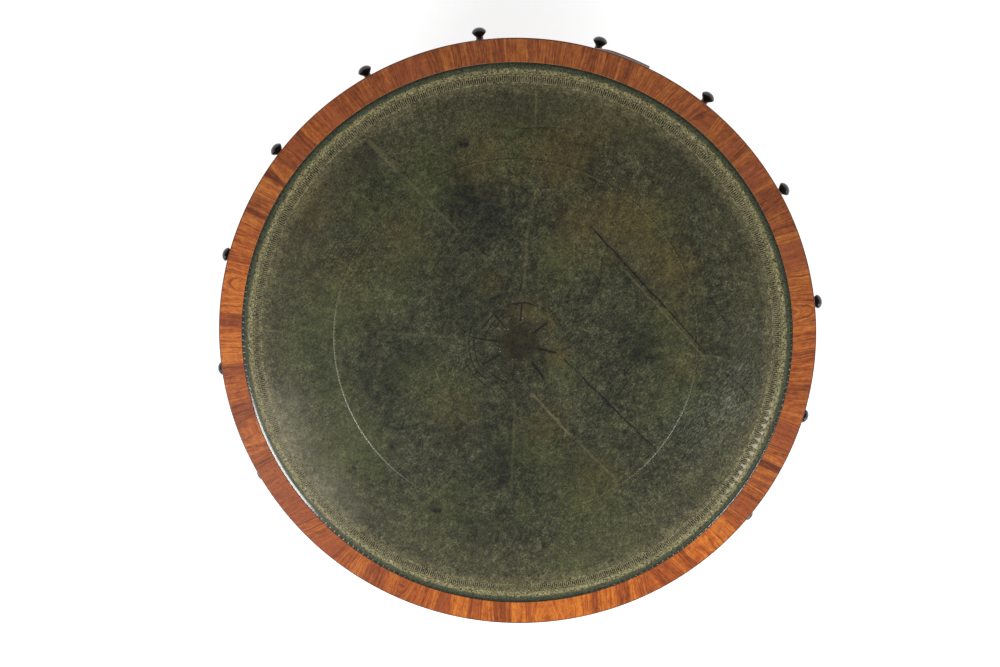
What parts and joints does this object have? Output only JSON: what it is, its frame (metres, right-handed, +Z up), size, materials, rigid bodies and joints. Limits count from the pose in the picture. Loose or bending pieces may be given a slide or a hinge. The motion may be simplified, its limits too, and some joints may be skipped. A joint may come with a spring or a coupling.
{
  "type": "drum table",
  "caption": "Round library table: a leather topped drum with curved drawers turns on a column with swept legs and brass castors.",
  "frame": {"origin": "on the floor, under the middle of the column", "axes": "+Z up; the drawers open along +X, +Y, -X and -Y, and the legs stand on the diagonals between them"},
  "size_m": [1.2452, 1.2452, 0.75],
  "materials": {
    "mahogany_crossband": "radial grain veneer, waxed",
    "mahogany_front": "figured veneer, french polished",
    "mahogany": "solid, french polished",
    "mahogany_bead": "polished bead and lipping",
    "ebonised_wood": "turned and ebonised, glossy",
    "softwood": "planed, bare",
    "oak_lining": "planed, lightly waxed",
    "green_leather": "worn green hide, blind tooled",
    "brass": "lacquered, aged",
    "iron": "forged, black",
    "steel": "bright drawn"
  },
  "bodies": {
    "pedestal": {"bearing_platform": "mahogany", "column": "mahogany", "pivot_pin": "iron", "toe_caps": "brass", "base_plate": "iron", "base_screws": "steel", "leg_1": "mahogany", "leg_2": "mahogany", "leg_3": "mahogany", "leg_4": "mahogany"},
    "drum": {"top_core": "softwood", "crossband_rim": "mahogany_crossband", "edge_lipping": "mahogany_bead", "leather_skin": "green_leather", "drum_bottom_board": "mahogany", "bottom_moulding": "mahogany", "housing_dividers": "softwood", "top_battens": "softwood", "top_screws": "steel", "centre_block": "softwood", "bearing_plate": "steel", "dummy_beads": "mahogany_bead", "dummy_knobs": "ebonised_wood", "dummy_escutcheons": "brass", "dummy_front_1": "mahogany_front", "dummy_front_2": "mahogany_front", "dummy_front_3": "mahogany_front", "dummy_front_4": "mahogany_front"},
    "drawer_1": {"drawer_1_front": "mahogany_front", "drawer_1_box": "oak_lining", "drawer_1_bottom": "oak_lining", "drawer_1_beads": "mahogany_bead", "drawer_1_knobs": "ebonised_wood", "drawer_1_lock": "brass"},
    "drawer_2": {"drawer_2_front": "mahogany_front", "drawer_2_box": "oak_lining", "drawer_2_bottom": "oak_lining", "drawer_2_beads": "mahogany_bead", "drawer_2_knobs": "ebonised_wood", "drawer_2_lock": "brass"},
    "drawer_3": {"drawer_3_front": "mahogany_front", "drawer_3_box": "oak_lining", "drawer_3_bottom": "oak_lining", "drawer_3_beads": "mahogany_bead", "drawer_3_knobs": "ebonised_wood", "drawer_3_lock": "brass"},
    "drawer_4": {"drawer_4_front": "mahogany_front", "drawer_4_box": "oak_lining", "drawer_4_bottom": "oak_lining", "drawer_4_beads": "mahogany_bead", "drawer_4_knobs": "ebonised_wood", "drawer_4_lock": "brass"},
    "castor_1": {"castor_fork_1": "brass"},
    "wheel_1": {"castor_wheel_1": "brass"},
    "castor_2": {"castor_fork_2": "brass"},
    "wheel_2": {"castor_wheel_2": "brass"},
    "castor_3": {"castor_fork_3": "brass"},
    "wheel_3": {"castor_wheel_3": "brass"},
    "castor_4": {"castor_fork_4": "brass"},
    "wheel_4": {"castor_wheel_4": "brass"}
  },
  "joints": [
    {"name": "drum_turn", "type": "hinge", "parent": "pedestal", "child": "drum", "pos_m": [0, 0, 0.6197], "axis": [0, 0, 1], "continuous": true},
    {"name": "drawer_1_slide", "type": "slide", "parent": "drum", "child": "drawer_1", "axis": [1, 0, 0], "range_m": [0, 0.25]},
    {"name": "drawer_2_slide", "type": "slide", "parent": "drum", "child": "drawer_2", "axis": [0, 1, 0], "range_m": [0, 0.25]},
    {"name": "drawer_3_slide", "type": "slide", "parent": "drum", "child": "drawer_3", "axis": [-1, 0, 0], "range_m": [0, 0.25]},
    {"name": "drawer_4_slide", "type": "slide", "parent": "drum", "child": "drawer_4", "axis": [0, -1, 0], "range_m": [0, 0.25]},
    {"name": "castor_1_swivel", "type": "hinge", "parent": "pedestal", "child": "castor_1", "pos_m": [0.31643, 0.31643, 0.047], "axis": [0, 0, 1], "continuous": true},
    {"name": "wheel_1_roll", "type": "hinge", "parent": "castor_1", "child": "wheel_1", "pos_m": [0.32633, 0.32633, 0.019], "axis": [-0.7071, 0.7071, 0], "continuous": true},
    {"name": "castor_2_swivel", "type": "hinge", "parent": "pedestal", "child": "castor_2", "pos_m": [-0.31643, 0.31643, 0.047], "axis": [0, 0, 1], "continuous": true},
    {"name": "wheel_2_roll", "type": "hinge", "parent": "castor_2", "child": "wheel_2", "pos_m": [-0.32633, 0.32633, 0.019], "axis": [-0.7071, -0.7071, 0], "continuous": true},
    {"name": "castor_3_swivel", "type": "hinge", "parent": "pedestal", "child": "castor_3", "pos_m": [-0.31643, -0.31643, 0.047], "axis": [0, 0, 1], "continuous": true},
    {"name": "wheel_3_roll", "type": "hinge", "parent": "castor_3", "child": "wheel_3", "pos_m": [-0.32633, -0.32633, 0.019], "axis": [0.7071, -0.7071, 0], "continuous": true},
    {"name": "castor_4_swivel", "type": "hinge", "parent": "pedestal", "child": "castor_4", "pos_m": [0.31643, -0.31643, 0.047], "axis": [0, 0, 1], "continuous": true},
    {"name": "wheel_4_roll", "type": "hinge", "parent": "castor_4", "child": "wheel_4", "pos_m": [0.32633, -0.32633, 0.019], "axis": [0.7071, 0.7071, 0], "continuous": true}
  ]
}
